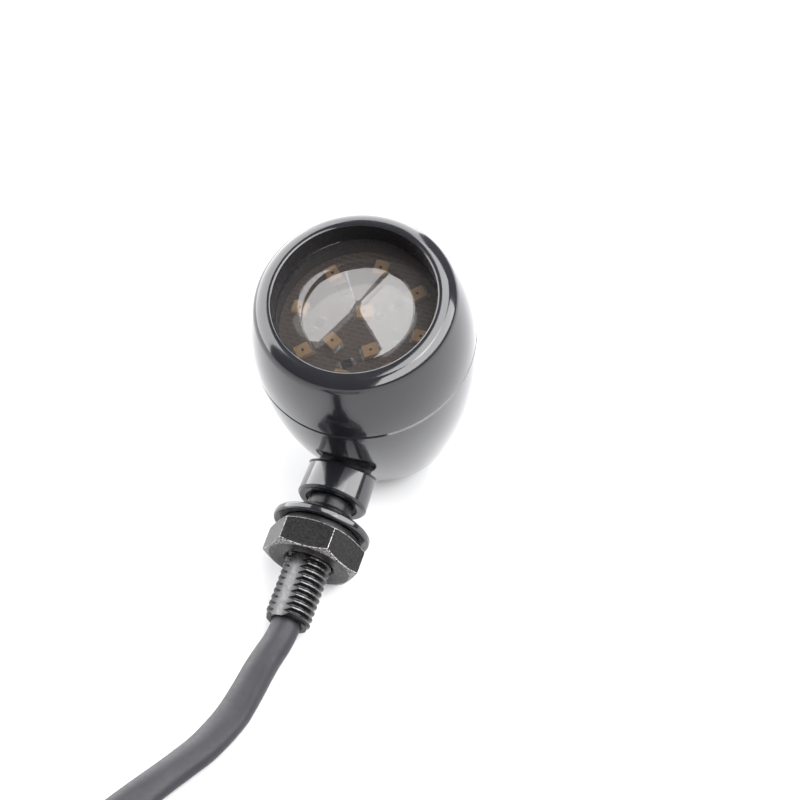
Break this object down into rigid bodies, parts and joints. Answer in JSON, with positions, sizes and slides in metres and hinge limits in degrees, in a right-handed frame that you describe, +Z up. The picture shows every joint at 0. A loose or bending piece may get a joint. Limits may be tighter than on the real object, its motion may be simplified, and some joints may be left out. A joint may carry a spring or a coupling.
{
  "type": "turn signal indicator",
  "caption": "Bullet-shaped motorcycle turn signal with a smoked lens over an LED board, on a mitred swivel collar and a hollow threaded stud with a sleeved lead.",
  "frame": {"origin": "middle of the indicator's footprint, without its free lead, on the surface that it lies on", "axes": "+Z up; the stud points along -Y and 20 degrees down; the barrel stands on its tail, leans 20 degrees towards -Y and its lens faces up; X is across, normal to the plane of symmetry"},
  "size_m": [0.0834, 0.2169, 0.0675],
  "materials": {
    "gloss_black": "glossy black, hard and mirror-like",
    "dark_boss": "dark turned steel",
    "stud_steel": "dark semi-gloss steel, cut thread",
    "black_oxide": "dull mottled black oxide, edges worn bright",
    "washer_steel": "zinc-plated steel",
    "spring_steel": "bright spring steel",
    "screw_steel": "zinc-plated steel",
    "smoked_lens": "clear smoked plastic, polished",
    "black_rubber": "black rubber seal",
    "carrier_plastic": "moulded black plastic",
    "board": "brown solder-resist on glass-fibre board",
    "led_package": "amber-gold LED packages",
    "resistor_body": "black ceramic chips with tinned ends",
    "diode_body": "black moulded diode",
    "solder": "tin solder",
    "red_wire": "red-brown PVC insulation",
    "black_wire": "black PVC insulation",
    "sleeve": "soft grey-black matte PVC sleeve, slightly creased",
    "terminal_brass": "bright turned brass",
    "boot_plastic": "black PVC insulating boot"
  },
  "bodies": {
    "stem": {"threaded_stud": "stud_steel", "swivel_spring_washer": "spring_steel", "swivel_circlip": "spring_steel", "trumpet_flange": "gloss_black", "cable_seal": "black_rubber", "stem_wires": "red_wire", "cable_sleeve": "sleeve", "cable_coil": "sleeve", "live_tail_wire": "red_wire", "ground_tail_wire": "black_wire", "live_terminal": "terminal_brass", "ground_terminal": "terminal_brass", "live_terminal_boot": "boot_plastic", "ground_terminal_boot": "boot_plastic"},
    "head": {"rear_housing": "gloss_black", "swivel_boss": "dark_boss", "mitred_collar": "gloss_black", "boss_seal": "black_rubber", "board_carrier": "carrier_plastic", "carrier_screws": "screw_steel", "housing_o_ring": "black_rubber", "led_board": "board", "led_chips": "led_package", "resistors": "resistor_body", "protection_diode": "diode_body", "solder_joints": "solder", "live_board_wire": "red_wire", "ground_board_wire": "black_wire"},
    "lens_unit": {"lens": "smoked_lens", "lens_gasket": "black_rubber"},
    "bezel": {"front_bezel": "gloss_black"},
    "washer": {"mounting_washer": "washer_steel"},
    "nut": {"mounting_nut": "black_oxide"}
  },
  "joints": [
    {"name": "head_swivel", "type": "hinge", "parent": "stem", "child": "head", "pos_m": [0, -0.00514, 0.01647], "axis": [0, -0.9397, -0.342], "range_deg": [-90, 90]},
    {"name": "lens_travel", "type": "slide", "parent": "head", "child": "lens_unit", "axis": [0, -0.342, 0.9397], "range_m": [0, 0.0075]},
    {"name": "bezel_turn", "type": "hinge", "parent": "lens_unit", "child": "bezel", "pos_m": [0, 0.00843, 0.05227], "axis": [0, -0.342, 0.9397], "range_deg": [0, 1800]},
    {"name": "washer_travel", "type": "slide", "parent": "stem", "child": "washer", "axis": [0, -0.9397, -0.342], "range_m": [0, 0.0135]},
    {"name": "nut_turn", "type": "hinge", "parent": "washer", "child": "nut", "pos_m": [0, -0.02112, 0.01066], "axis": [0, -0.9397, -0.342], "range_deg": [0, 3240]}
  ],
  "couplings": [
    {"joint": "bezel_turn", "follows": "lens_travel", "rad_per_m": 4188.8},
    {"joint": "nut_turn", "follows": "washer_travel", "rad_per_m": 4188.8}
  ]
}
